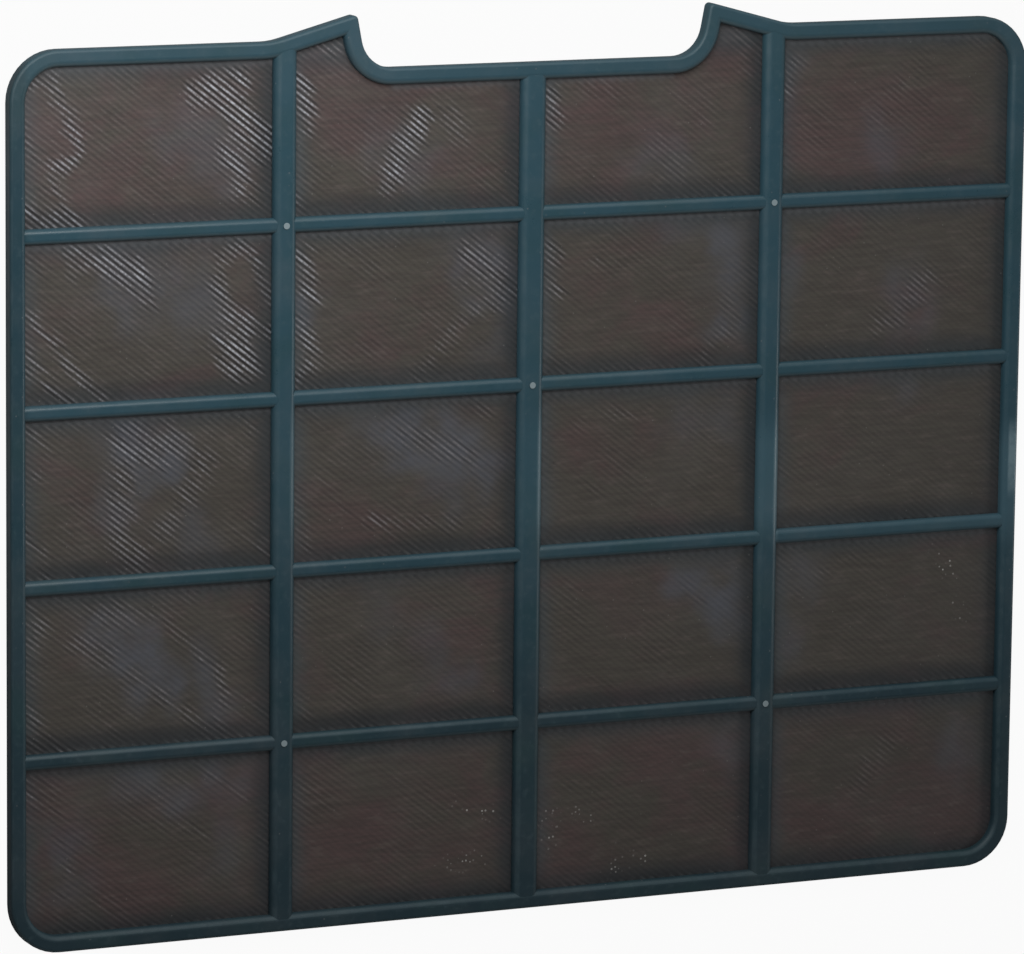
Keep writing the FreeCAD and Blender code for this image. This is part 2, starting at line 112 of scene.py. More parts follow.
# Where the slack net's threads catch the light: strength, width, then points, in millimetres
GLINTS = (
    # Left column, from the top window to the bottom one
    (0.80, 4.0, (-181, 137), (-174, 140)),
    (1.00, 4.5, (-174, 137), (-170, 128), (-167, 122), (-164, 117), (-166, 112), (-172, 109)),
    (1.00, 4.5, (-172, 109), (-174, 104), (-171, 98), (-168, 92)),
    (0.75, 3.5, (-184, 125), (-180, 113)),
    (1.00, 7.5, (-184, 94), (-176, 92), (-166, 91)),
    (1.00, 11.0, (-121, 133), (-109, 136)),
    (1.00, 14.0, (-112, 131), (-105, 122), (-100, 115)),
    (0.85, 9.0, (-112, 113), (-108, 105), (-105, 98)),
    (0.22, 14.0, (-131, 124), (-121, 106)),
    (0.22, 10.0, (-161, 99), (-142, 96)),
    (0.22, 6.0, (-160, 140), (-132, 140)),
    (0.80, 13.0, (-165, 79), (-155, 77), (-145, 71)),
    (0.95, 6.0, (-144, 76), (-141, 64)),
    (0.85, 4.0, (-106, 80), (-101, 74), (-98, 66), (-95, 58)),
    (0.80, 6.0, (-107, 80), (-114, 76), (-116, 69), (-111, 60)),
    (1.00, 9.0, (-110, 56), (-104, 53)),
    (1.00, 5.0, (-104, 54), (-97, 51)),
    (1.00, 14.0, (-110, 47), (-107, 40)),
    (0.60, 4.0, (-182, 79), (-179, 76)),
    (0.95, 3.5, (-182, 60), (-173, 49), (-165, 40), (-157, 31)),
    (0.80, 4.5, (-183, 48), (-176, 39), (-167, 31)),
    (0.60, 2.5, (-184, 58), (-184, 36)),
    (0.28, 12.0, (-139, 53), (-121, 44)),
    (0.32, 5.0, (-130, 38), (-118, 33)),
    (0.62, 17.0, (-147, 16), (-136, 13)),
    (0.66, 10.0, (-134, 19), (-126, 12), (-120, 6)),
    (0.52, 10.0, (-120, 4), (-127, -5), (-134, -14), (-143, -25)),
    (0.60, 13.0, (-148, 12), (-149, 2), (-151, -8), (-149, -17), (-144, -25)),
    (0.75, 4.0, (-182, 22), (-176, 17)),
    (0.60, 3.0, (-176, 17), (-176, 10), (-180, 5)),
    (0.75, 4.0, (-184, -12), (-178, -21), (-176, -30)),
    (0.60, 4.0, (-106, 23), (-102, 17)),
    (0.65, 3.5, (-101, -15), (-97, -25)),
    (0.65, 6.5, (-184, -39), (-179, -45), (-181, -52)),
    (0.50, 12.0, (-160, -42), (-148, -44)),
    (0.65, 3.5, (-145, -41), (-135, -46), (-122, -57), (-114, -65), (-112, -76)),
    (0.48, 12.0, (-166, -52), (-154, -56)),
    (0.60, 4.5, (-155, -58), (-141, -67), (-130, -76), (-118, -85)),
    (0.55, 6.0, (-116, -78), (-113, -86)),
    (0.65, 4.0, (-186, -56), (-185, -72), (-178, -80), (-172, -86)),
    (0.60, 3.5, (-184, -84), (-166, -88)),
    (0.60, 3.5, (-186, -95), (-180, -102)),
    (0.45, 4.5, (-180, -103), (-171, -113), (-168, -127), (-171, -140)),
    (0.35, 8.0, (-152, -100), (-136, -111), (-119, -122)),
    (0.45, 4.5, (-125, -97), (-112, -104), (-104, -110)),
    (0.28, 7.0, (-112, -122), (-106, -134)),
    (0.40, 5.0, (-178, -142), (-168, -146)),
    (0.35, 3.0, (-155, -138), (-143, -147)),
    # Centre left column
    (1.00, 6.0, (-86, 136), (-83, 128), (-84, 121)),
    (0.55, 4.0, (-79, 148), (-72, 144)),
    (1.00, 9.0, (-42, 121), (-47, 112), (-52, 101)),
    (0.35, 10.0, (-60, 110), (-62, 101)),
    (0.50, 10.0, (-31, 122), (-26, 115)),
    (0.40, 8.0, (-38, 107), (-41, 98)),
    (0.70, 4.0, (-87, 95), (-84, 91)),
    (1.00, 6.0, (-86, 78), (-82, 69), (-80, 61)),
    (0.95, 5.5, (-85, 52), (-82, 47), (-81, 41), (-85, 34)),
    (0.32, 7.0, (-80, 80), (-56, 80)),
    (0.32, 5.0, (-73, 73), (-60, 71)),
    (0.62, 14.0, (-22, 72), (-15, 66), (-10, 59)),
    (0.50, 8.0, (-20, 55), (-28, 49), (-35, 41), (-41, 34)),
    (0.35, 6.0, (-22, 45), (-15, 42)),
    (0.25, 8.0, (-72, 56), (-75, 46)),
    (0.45, 12.0, (-46, 13), (-34, 9), (-22, 4)),
    (0.55, 4.0, (-22, 21), (-15, 19)),
    (0.50, 7.0, (-59, -17), (-42, -18), (-29, -20)),
    (0.55, 4.5, (-86, -13), (-82, -24)),
    (0.35, 5.0, (-75, -6), (-67, -13)),
    (0.28, 6.0, (-35, -8), (-25, -10)),
    (0.25, 4.0, (-34, -53), (-31, -57)),
    (0.45, 4.5, (-86, -76), (-82, -83)),
    (0.32, 4.0, (-55, -102), (-45, -110), (-35, -112)),
    # Centre right column
    (1.00, 5.0, (7, 127), (9, 119)),
    (0.30, 6.0, (8, 112), (14, 105), (8, 101)),
    (0.55, 3.5, (81, 148), (85, 143)),
    (0.30, 8.0, (54, 127), (62, 119)),
    (0.40, 4.5, (64, 116), (66, 111)),
    (0.35, 12.0, (47, 109), (57, 100), (50, 95)),
    (0.60, 3.5, (55, 98), (59, 102)),
    (0.25, 5.0, (85, 130), (86, 94)),
    (0.85, 4.5, (6, 76), (10, 70)),
    (0.85, 5.0, (7, 66), (11, 60)),
    (0.45, 3.5, (22, 70), (30, 68)),
    (0.22, 15.0, (45, 76), (60, 63)),
    (0.42, 8.0, (75, 54), (80, 46), (72, 39), (65, 33)),
    (0.20, 10.0, (14, 60), (20, 50)),
    (0.36, 6.5, (18, 13), (30, 15), (45, 15)),
    (0.40, 4.0, (21, -7), (28, -12)),
    (0.30, 4.0, (59, -9), (64, -12)),
    (0.25, 5.0, (44, -15), (55, -18)),
    (0.28, 5.0, (84, 19), (86, -20)),
    (0.25, 5.0, (45, -42), (51, -47)),
    (0.38, 4.0, (62, -47), (66, -53)),
    (0.30, 3.5, (25, -76), (36, -83)),
    (0.32, 4.0, (14, -115), (24, -114)),
    (0.25, 5.0, (84, -100), (86, -122)),
    # Right column
    (0.65, 4.5, (100, 134), (97, 125)),
    (0.28, 5.0, (104, 126), (111, 119)),
    (0.30, 13.0, (148, 132), (138, 122), (134, 114)),
    (0.20, 10.0, (135, 106), (142, 98)),
    (0.28, 5.0, (119, 94), (140, 92)),
    (0.35, 4.0, (170, 121), (175, 112)),
    (0.25, 5.0, (182, 130), (183, 94)),
    (0.26, 12.0, (109, 74), (119, 67)),
    (0.20, 8.0, (100, 66), (109, 56)),
    (0.45, 11.0, (154, 58), (147, 50), (136, 43)),
    (0.28, 5.0, (111, 34), (122, 31)),
    (0.25, 5.0, (182, 74), (183, 34)),
    (0.20, 12.0, (141, 10), (131, 0), (139, -10)),
    (0.30, 6.0, (104, -23), (134, -25)),
    (0.30, 5.0, (99, 24), (108, 22)),
    (0.38, 4.0, (106, -52), (112, -48), (121, -43), (130, -42)),
    (0.30, 3.5, (114, -82), (122, -86)),
    (0.36, 10.0, (131, -124), (142, -109)),
    (0.20, 6.0, (180, -100), (184, -122)),
)

# Bluish clouds of fine dust on the net, and clusters of painted glints, given the same way
CLOUDS = (
    (0.5, 18.0, (-126, 120), (-112, 108)),
    (0.8, 18.0, (-151, 77), (-142, 65)),
    (0.6, 18.0, (-134, 72), (-119, 58)),
    (0.4, 12.0, (-102, 46), (-98, 40)),
    (1.0, 20.0, (-146, 18), (-138, 10)),
    (0.6, 10.0, (-152, 2), (-151, -12)),
    (0.5, 12.0, (-125, -15), (-118, -24)),
    (1.0, 18.0, (-153, -48), (-146, -55), (-135, -66)),
    (0.7, 10.0, (-120, -62), (-114, -82)),
    (0.7, 12.0, (-148, -99), (-128, -108)),
    (0.7, 8.0, (-117, -100), (-108, -105)),
    (0.6, 10.0, (-169, -117), (-168, -138)),
    (0.5, 9.0, (-112, -122), (-110, -135)),
    (0.4, 18.0, (-52, 112), (-45, 104)),
    (1.0, 6.0, (-84, 60), (-84, 54)),
    (0.9, 18.0, (-20, 72), (-11, 62)),
    (0.4, 12.0, (-12, 40), (-8, 50)),
    (1.0, 18.0, (-52, 14), (-33, 8), (-18, 0)),
    (0.5, 12.0, (-32, -7), (-26, -10)),
    (0.6, 9.0, (-30, -76), (-22, -74)),
    (0.4, 10.0, (-54, -44), (-50, -52)),
    (0.4, 11.0, (-36, -60), (-34, -68)),
    (0.4, 15.0, (45, 105), (58, 100)),
    (0.8, 15.0, (76, 73), (78, 45)),
    (0.4, 11.0, (55, 78), (70, 78)),
    (0.4, 15.0, (60, 15), (74, 12)),
    (1.0, 14.0, (63, -45), (72, -52), (78, -58)),
    (0.5, 10.0, (72, -40), (80, -44)),
    (0.5, 11.0, (80, -100), (80, -110)),
    (0.5, 13.0, (132, 108), (138, 102)),
    (0.5, 8.0, (99, 134), (98, 126)),
    (0.6, 13.0, (147, 56), (149, 50)),
    (0.4, 10.0, (140, 39), (150, 41)),
    (0.5, 9.0, (98, 60), (98, 66)),
    (0.5, 7.0, (141, 20), (149, 20)),
    (0.5, 15.0, (100, -45), (108, -48)),
    (0.6, 8.0, (100, -65), (101, -72)),
    (0.5, 13.0, (170, -109), (172, -118)),
)
GLINT_DOTS = (
    (1.0, 4.0, (162, -41), (165, -44)),
    (0.9, 3.0, (163, -48), (168, -51)),
    (0.7, 3.0, (168, -62), (170, -65)),
    (1.0, 2.5, (-24, -120), (-12, -122)),
    (1.0, 3.0, (-27, -139), (-16, -138)),
    (0.9, 3.0, (10, -125), (10, -136)),
    (0.8, 2.5, (21, -125), (24, -127)),
    (1.0, 2.5, (33, -146), (46, -143)),
)


class NetSizes(bpy.types.PropertyGroup):
    """Sizes of the net's threads and of its slack."""

    pitch: FloatProperty(
        name="Thread spacing", description="Distance from one thread to the next",
        default=0.00183, min=0.0005, unit="LENGTH",
    )
    thread_height: FloatProperty(
        name="Thread height", description="Height of a thread above the valleys beside it",
        default=0.0002, min=0.0, unit="LENGTH",
    )
    slant: FloatProperty(
        name="Thread slant", description="Angle of the front threads below the width",
        default=math.radians(38), subtype="ANGLE",
    )
    step: FloatProperty(
        name="Step along threads", description="Length of a front face along the threads",
        default=0.003, min=0.001, unit="LENGTH",
    )
    slack: FloatProperty(
        name="Slack", description="How far the net bellies out between the ribs",
        default=0.00025, min=0.0, unit="LENGTH",
    )
    calm: FloatProperty(
        name="Flattened share", description="Height left to the threads where the net lies taut",
        default=0.12, min=0.0, max=1.0,
    )


class FilterColours(bpy.types.PropertyGroup):
    """Colours of the moulding and the net."""

    plastic: FloatVectorProperty(
        name="Moulding", description="Body colour of the moulded frame",
        default=(0.019, 0.048, 0.064), subtype="COLOR", size=3, min=0, max=1,
    )
    # Also the colour of the painted highlight and the painted light on the shoulders
    rubbed: FloatVectorProperty(
        name="Rubbed edge and painted light", description="Colour of the frame's rubbed edges and painted light",
        default=(0.075, 0.115, 0.130), subtype="COLOR", size=3, min=0, max=1,
    )
    # Painted reflection across the middle of the frame
    painted_reflection: FloatVectorProperty(
        name="Painted reflection", description="Colour of the reflection painted across the frame",
        default=(0.048, 0.100, 0.128), subtype="COLOR", size=3, min=0, max=1,
    )
    # Painted highlight on the right band and the stiles' right shoulders
    reflection_highlight: FloatVectorProperty(
        name="Painted highlight", description="Colour of the highlights painted on the frame",
        default=(0.14, 0.21, 0.24), subtype="COLOR", size=3, min=0, max=1,
    )
    gate_mark: FloatVectorProperty(
        name="Gate marks", description="Colour of the frosted round marks on the crossings",
        default=(0.27, 0.33, 0.35), subtype="COLOR", size=3, min=0, max=1,
    )
    thread: FloatVectorProperty(
        name="Thread", description="Colour of the net's threads",
        default=(0.064, 0.051, 0.0455), subtype="COLOR", size=3, min=0, max=1,
    )
    # Also used for the painted shade in the valleys and towards the lower right
    valley: FloatVectorProperty(
        name="Between threads", description="Colour in the gaps between the threads",
        default=(0.014, 0.013, 0.014), subtype="COLOR", size=3, min=0, max=1,
    )
    # Painted glint on the threads
    sheen: FloatVectorProperty(
        name="Painted glint", description="Colour painted on the threads where they glint",
        default=(0.50, 0.52, 0.57), subtype="COLOR", size=3, min=0, max=1,
    )
    haze: FloatVectorProperty(
        name="Fine dust", description="Colour of the fine dust clouds on the net",
        default=(0.075, 0.084, 0.106), subtype="COLOR", size=3, min=0, max=1,
    )
    # Painted shade along the ribs
    painted_shade: FloatVectorProperty(
        name="Painted shade", description="Colour of the shade painted along the ribs",
        default=(0.005, 0.005, 0.007), subtype="COLOR", size=3, min=0, max=1,
    )
    margin: FloatVectorProperty(
        name="Margin", description="Bluish colour of the fine dust held along the ribs",
        default=(0.034, 0.058, 0.072), subtype="COLOR", size=3, min=0, max=1,
    )
    # Painted light under the rails and the top band and right of the stiles
    dust_and_light_tint: FloatVectorProperty(
        name="Painted light", description="Colour of the light painted under the rails",
        default=(0.140, 0.147, 0.158), subtype="COLOR", size=3, min=0, max=1,
    )
    dust: FloatVectorProperty(
        name="Dust", description="Colour of the dust on the net and the frame",
        default=(0.15, 0.145, 0.145), subtype="COLOR", size=3, min=0, max=1,
    )
    speck: FloatVectorProperty(
        name="Specks", description="Colour of the single specks of dust on the net",
        default=(0.45, 0.44, 0.42), subtype="COLOR", size=3, min=0, max=1,
    )
    # Painted glints in small dots
    glint_dots: FloatVectorProperty(
        name="Painted glint dots", description="Colour of the clusters of glints painted on the net",
        default=(0.46, 0.45, 0.43), subtype="COLOR", size=3, min=0, max=1,
    )


class StageSettings(bpy.types.PropertyGroup):
    """Strength of the lamps and of the surroundings."""

    window: FloatProperty(
        name="Upper lamp", description="Power of the broad lamp beyond the top edge",
        default=2.2, unit="POWER",
    )
    rim: FloatProperty(
        name="Rail lamp", description="Power of the lamp that lights the upper sides of the rails",
        default=0.80, unit="POWER",
    )
    side: FloatProperty(
        name="Side lamp", description="Power of the low, narrow lamp on the right",
        default=0.42, unit="POWER",
    )
    glow: FloatProperty(
        name="Surroundings", description="Strength of the surrounding light", default=0.165, min=0,
    )


# Small helpers for shader nodes
def add_node(tree, kind, settings=(), **inputs):
    """Adds a node; settings are its own properties, and inputs its socket values or links.

    An input is called by its name, or by i and its number where names repeat."""
    node = tree.nodes.new(kind)
    for name, value in dict(settings).items():
        setattr(node, name, value)
    for name, value in inputs.items():
        key = int(name[1:]) if name[0] == "i" and name[1:].isdigit() else name.replace("_", " ")
        set_socket(tree, node.inputs[key], value)
    return node


def set_socket(tree, socket, value):
    if isinstance(value, bpy.types.NodeSocket):
        tree.links.new(value, socket)
    else:
        socket.default_value = value


def math_node(tree, operation, first, second=0.0, third=0.0, clamp=False):
    settings = {"operation": operation, "use_clamp": clamp}
    return add_node(tree, "ShaderNodeMath", settings, i0=first, i1=second, i2=third).outputs[0]


def product(tree, first, second, clamp=False):
    return math_node(tree, "MULTIPLY", first, second, clamp=clamp)


def sum_of(tree, first, second, clamp=False):
    return math_node(tree, "ADD", first, second, clamp=clamp)


def distance_from(tree, value, middle):
    """How far a value is from the given one, either way."""
    return math_node(tree, "ABSOLUTE", math_node(tree, "SUBTRACT", value, middle))


def ramp(tree, value, low, high, to_low=0.0, to_high=1.0):
    """Maps a value smoothly from low..high to to_low..to_high."""
    settings = {"interpolation_type": "SMOOTHSTEP"}
    node = add_node(tree, "ShaderNodeMapRange", settings, Value=value)
    for socket, number in zip(node.inputs[1:5], (low, high, to_low, to_high)):
        socket.default_value = number
    return node.outputs["Result"]


def mix_colour(tree, factor, first, second):
    """Mixes two colours; the node's sockets for colours are inputs 6 and 7 and output 2."""
    node = tree.nodes.new("ShaderNodeMix")
    node.data_type = "RGBA"
    for socket, value in ((node.inputs[0], factor), (node.inputs[6], first), (node.inputs[7], second)):
        plain = isinstance(value, (float, bpy.types.NodeSocket))
        set_socket(tree, socket, value if plain else (*value, 1.0)[:4])
    return node.outputs[2]


def scaled(colour, factor):
    return tuple(factor * channel for channel in colour)


def tinted(colour, factors):
    return tuple(channel * factor for channel, factor in zip(colour, factors))


def noise_node(tree, vector, scale, detail=2.0, roughness=0.5, distortion=0.0):
    node = add_node(
        tree, "ShaderNodeTexNoise", {"noise_dimensions": "3D"},
        Vector=vector, Scale=scale, Detail=detail, Roughness=roughness, Distortion=distortion,
    )
    return node.outputs["Fac"]


def scattered_dots(tree, vector, scale):
    """Cells scattered over the surface: the distance from each middle, and a random number."""
    cells = add_node(tree, "ShaderNodeTexVoronoi", {"feature": "F1"}, Vector=vector, Scale=scale)
    pick = add_node(tree, "ShaderNodeSeparateColor", Color=cells.outputs["Color"])
    return cells.outputs["Distance"], pick.outputs[0]


def stretched(tree, vector, scale):
    """The vector scaled, to stretch a pattern."""
    node = add_node(tree, "ShaderNodeMapping", {"vector_type": "POINT"}, Vector=vector)
    node.inputs["Scale"].default_value = scale
    return node.outputs[0]


def mark_of(tree, name):
    """A mark that the net carries at each of its points."""
    return add_node(tree, "ShaderNodeAttribute", {"attribute_name": name}).outputs["Fac"]


def new_group(name, inputs, outputs):
    """A node group with the given sockets, and its input and output nodes."""
    tree = bpy.data.node_groups.new(name, "ShaderNodeTree")
    for direction, sockets in (("INPUT", inputs), ("OUTPUT", outputs)):
        for label, kind, *default in sockets:
            socket = tree.interface.new_socket(label, in_out=direction, socket_type="NodeSocket" + kind)
            if default:
                socket.default_value = default[0]
    return tree, tree.nodes.new("NodeGroupInput"), tree.nodes.new("NodeGroupOutput")


def use_group(tree, group, **inputs):
    node = tree.nodes.new("ShaderNodeGroup")
    node.node_tree = group
    for name, value in inputs.items():
        set_socket(tree, node.inputs[name.replace("_", " ")], value)
    return node


def dust_group():
    """Where dust lies: cloudy films, and fine specks."""
    name = "Dust film"
    if name in bpy.data.node_groups:
        return bpy.data.node_groups[name]
    tree, given, result = new_group(
        name,
        [("Place", "Vector"), ("Amount", "Float", 0.5), ("Specks", "Float", 0.5)],
        [("Film", "Float"), ("Speck", "Float")],
    )
    place = given.outputs["Place"]
    cloud = noise_node(tree, place, 26.0, 4.0, 0.6, 0.4)
    patchy = noise_node(tree, place, 210.0, 3.0, 0.65)
    film = product(tree, ramp(tree, cloud, 0.42, 0.72), ramp(tree, patchy, 0.25, 0.75, 0.5, 1.0))
    film = product(tree, film, given.outputs["Amount"], clamp=True)
    away, pick = scattered_dots(tree, place, 420.0)
    speck = product(tree, ramp(tree, away, 0.05, 0.16, 1.0, 0.0), ramp(tree, pick, 0.90, 0.93))
    speck = product(tree, speck, given.outputs["Specks"], clamp=True)
    tree.links.new(film, result.inputs["Film"])
    tree.links.new(speck, result.inputs["Speck"])
    return tree


def new_material(name):
    material = bpy.data.materials.new(name)
    material.use_nodes = True
    tree = material.node_tree
    tree.nodes.clear()
    output = tree.nodes.new("ShaderNodeOutputMaterial")
    shader = tree.nodes.new("ShaderNodeBsdfPrincipled")
    tree.links.new(shader.outputs[0], output.inputs["Surface"])
    return material, tree, shader


# Finish of the moulding
def moulding_body(tree, place, colours):
    """Body colour with soft patches and streaks; painted light makes it lighter towards the top, and
    painted shade deeper towards the bottom and on the outer side of the left band.
    """
    spot = add_node(tree, "ShaderNodeSeparateXYZ", Vector=place)
    x, y = spot.outputs["X"], spot.outputs["Y"]
    deeper = scaled(colours.plastic, 0.60)
    lighter = scaled(colours.plastic, 1.33)
    greener = tinted(colours.plastic, (1.0, 1.05, 0.80))
    tone = noise_node(tree, place, 14.0, 3.0, 0.55)
    # Painted light and shade: random tone, lighter towards the top and deeper towards the bottom
    tone_and_light_from_top = sum_of(tree, product(tree, tone, 0.5), ramp(tree, y, -0.16, 0.06))
    body = mix_colour(tree, ramp(tree, tone_and_light_from_top, 0.20, 1.30), deeper, lighter)
    # Painted shade on the outer side of the left band, fading out towards its bottom
    left_band_shade = ramp(tree, x, 0.0011 - SIDE_MIDDLE, 0.0046 - SIDE_MIDDLE, 0.55, 0.0)
    left_band_shade = product(tree, left_band_shade, ramp(tree, y, -0.13, -0.03))
    body = mix_colour(tree, left_band_shade, body, deeper)
    hue = noise_node(tree, place, 33.0, 2.0, 0.5)
    body = mix_colour(tree, ramp(tree, hue, 0.45, 0.75, 0.0, 0.4), body, greener)
    streak = noise_node(tree, stretched(tree, place, (60, 60, 900)), 6.0, 4.0, 0.6)
    return mix_colour(tree, ramp(tree, streak, 0.50, 0.85, 0.0, 0.25), body, colours.rubbed)


def reflection_marks(tree, x, y):
    """Where reflections are painted on the moulding: a broad one, stronger to the right, and highlights
    on the stiles' right shoulders.

    Both lie within a level strip across the middle that slopes a little."""
    lift = math_node(tree, "MULTIPLY_ADD", x, 0.07, 0.004)
    level = math_node(tree, "ABSOLUTE", sum_of(tree, y, lift))
    level = ramp(tree, level, 0.009, 0.027, 1.0, 0.0)
    nearest = 1.0
    inside = 0.0013
    for middle, half in zip(STILES[1:-1], STILE_HALF[1:-1]):
        nearest = math_node(tree, "MINIMUM", nearest, distance_from(tree, x, middle + half - inside))
    shoulder = product(tree, ramp(tree, nearest, 0.0006, 0.0017, 1.0, 0.0), level)
    shoulder = product(tree, shoulder, ramp(tree, x, -0.1, 0.1, 0.25, 0.55))
    return product(tree, level, ramp(tree, x, -0.06, 0.08, 0.0, 0.75)), shoulder


def band_reflection(tree, x, y, up, worn):
    """A reflection painted on the front of the right band."""
    aside = ramp(tree, x, SIDE_MIDDLE - 0.0013, SIDE_MIDDLE - 0.0003)
    along = ramp(tree, distance_from(tree, y, -0.009), 0.006, 0.016, 1.0, 0.0)
    gleam = product(tree, product(tree, aside, along), ramp(tree, worn, 0.30, 0.62, 0.5, 0.9))
    return product(tree, gleam, ramp(tree, up, 0.3, 0.8))


def moulding_material(colours):
    """Dark grey-green moulding: fine grain, rubbed shoulders, dust in the corners, and painted
    highlights, reflections, light and shade.
    """
    material, tree, shader = new_material("moulded_frame")
    place = tree.nodes.new("ShaderNodeTexCoord").outputs["Object"]
    spot = add_node(tree, "ShaderNodeSeparateXYZ", Vector=place)
    x, y, z = (spot.outputs[axis] for axis in "XYZ")
    normal = tree.nodes.new("ShaderNodeNewGeometry").outputs["Normal"]
    facing = add_node(tree, "ShaderNodeSeparateXYZ", Vector=normal)
    up = facing.outputs["Z"]
    dust = use_group(tree, dust_group(), Place=place, Amount=0.30, Specks=0.3)
    worn = noise_node(tree, place, 160.0, 4.0, 0.7)

    # Shoulders rubbed pale, with a painted highlight on those that face up the filter and painted light
    # on those that face down it
    colour = moulding_body(tree, place, colours)
    shoulder = product(tree, ramp(tree, up, 0.45, 0.75), ramp(tree, up, 0.92, 0.995, 1.0, 0.0))
    rub = product(tree, shoulder, ramp(tree, worn, 0.35, 0.7, 0.2, 1.0))
    colour = mix_colour(tree, product(tree, rub, 0.22), colour, colours.rubbed)
    # Painted highlight on the shoulders that face up the filter
    upper_highlight = product(tree, ramp(tree, facing.outputs["Y"], 0.10, 0.35), ramp(tree, up, 0.25, 0.6))
    colour = mix_colour(tree, product(tree, upper_highlight, 0.12), colour, colours.rubbed)
    # Painted light on the shoulders that face down the filter, lifting their shade
    underside_light = ramp(tree, facing.outputs["Y"], -0.75, -0.25, 1.0, 0.0)
    underside_light = product(tree, underside_light, ramp(tree, up, 0.1, 0.4))
    colour = mix_colour(tree, product(tree, underside_light, 0.8), colour, colours.rubbed)

    # Painted reflections across the middle, on the stiles' right shoulders and on the right band, and
    # the frosted gate marks
    painted_reflection, shoulder_reflection = reflection_marks(tree, x, y)
    colour = mix_colour(tree, painted_reflection, colour, colours.painted_reflection)
    # Painted highlights on the right band and the stiles' right shoulders
    gleam = math_node(tree, "MAXIMUM", band_reflection(tree, x, y, up, worn), shoulder_reflection)
    colour = mix_colour(tree, gleam, colour, colours.reflection_highlight)
    gate_mark = ramp(tree, z, BAND_DEPTH + 0.00004, BAND_DEPTH + 0.00014)
    colour = mix_colour(tree, product(tree, gate_mark, 0.75), colour, colours.gate_mark)

    # Dust, most of it low down beside the net
    low = ramp(tree, z, 0.0014, 0.0024, 1.0, 0.0)
    dust_and_light_tint = product(tree, low, ramp(tree, worn, 0.3, 0.65, 0.2, 0.7))
    film = math_node(tree, "MAXIMUM", dust.outputs["Film"], product(tree, dust_and_light_tint, 0.2))
    colour = mix_colour(tree, product(tree, film, 0.30), colour, colours.dust)
    colour = mix_colour(tree, dust.outputs["Speck"], colour, scaled(colours.dust, 1.6))
    tree.links.new(colour, shader.inputs["Base Color"])

    # Gloss, duller where dust lies and towards the bottom and the top
    rough = sum_of(tree, ramp(tree, worn, 0.3, 0.7, 0.27, 0.37), product(tree, film, 0.35))
    rough = math_node(tree, "SUBTRACT", rough, product(tree, rub, 0.05))
    rough = sum_of(tree, rough, ramp(tree, y, -0.15, 0.01, 0.26, 0.0))
    rough = sum_of(tree, rough, ramp(tree, y, 0.115, 0.148, 0.0, 0.2), clamp=True)
    tree.links.new(rough, shader.inputs["Roughness"])
    shader.inputs["Specular IOR Level"].default_value = 0.30

    # Fine grain over the slight sink of the plastic
    grain = noise_node(tree, place, 1900.0, 2.0, 0.6)
    sink = noise_node(tree, place, 70.0, 2.0, 0.5)
    swell = sum_of(tree, product(tree, grain, 0.08), product(tree, sink, 1.2))
    bump = add_node(tree, "ShaderNodeBump", Height=swell, Strength=0.5, Distance=0.00025)
    tree.links.new(bump.outputs[0], shader.inputs["Normal"])
    return material


# Finish of the net
def net_cloth(tree, place, blotch, colours):
    """Colour of the net itself: blotches, painted shade towards the lower right, faint level streaks,
    fluff and dust clouds.
    """
    spot = add_node(tree, "ShaderNodeSeparateXYZ", Vector=place)
    x, y = spot.outputs["X"], spot.outputs["Y"]
    warm = tinted(colours.thread, (1.14, 0.90, 0.965))
    green = tinted(colours.thread, (0.92, 1.03, 0.93))
    halfway = ramp(tree, math_node(tree, "ABSOLUTE", y), 0.055, 0.125, 0.10, 0.0)
    greener = ramp(tree, sum_of(tree, blotch, halfway), 0.38, 0.62)
    cloth = mix_colour(tree, greener, warm, green)
    # Painted shade: darker towards the lower right
    lower_right_shade = ramp(tree, math_node(tree, "SUBTRACT", x, y), 0.12, 0.32, 0.0, 0.15)
    cloth = mix_colour(tree, lower_right_shade, cloth, colours.valley)
    streak = noise_node(tree, stretched(tree, place, (70, 640, 1)), 1.0, 4.0, 0.7)
    streak = ramp(tree, streak, 0.36, 0.66, 0.0, 0.50)
    cloth = mix_colour(tree, streak, cloth, scaled(colours.thread, 0.55))
    fluff = noise_node(tree, stretched(tree, place, (120, 420, 1)), 1.0, 3.0, 0.6)
    fluff = ramp(tree, fluff, 0.50, 0.78, 0.0, 0.50)
    cloth = mix_colour(tree, fluff, cloth, scaled(colours.thread, 1.55))
    patchy = ramp(tree, noise_node(tree, place, 70.0, 4.0, 0.6), 0.28, 0.66, 0.45, 1.0)
    cloudy = product(tree, mark_of(tree, "cloud"), patchy)
    cloth = mix_colour(tree, product(tree, cloudy, 0.75), cloth, colours.haze)
    rim = product(tree, mark_of(tree, "rim"), ramp(tree, blotch, 0.25, 0.7, 0.35, 0.60))
    return mix_colour(tree, rim, cloth, colours.margin)


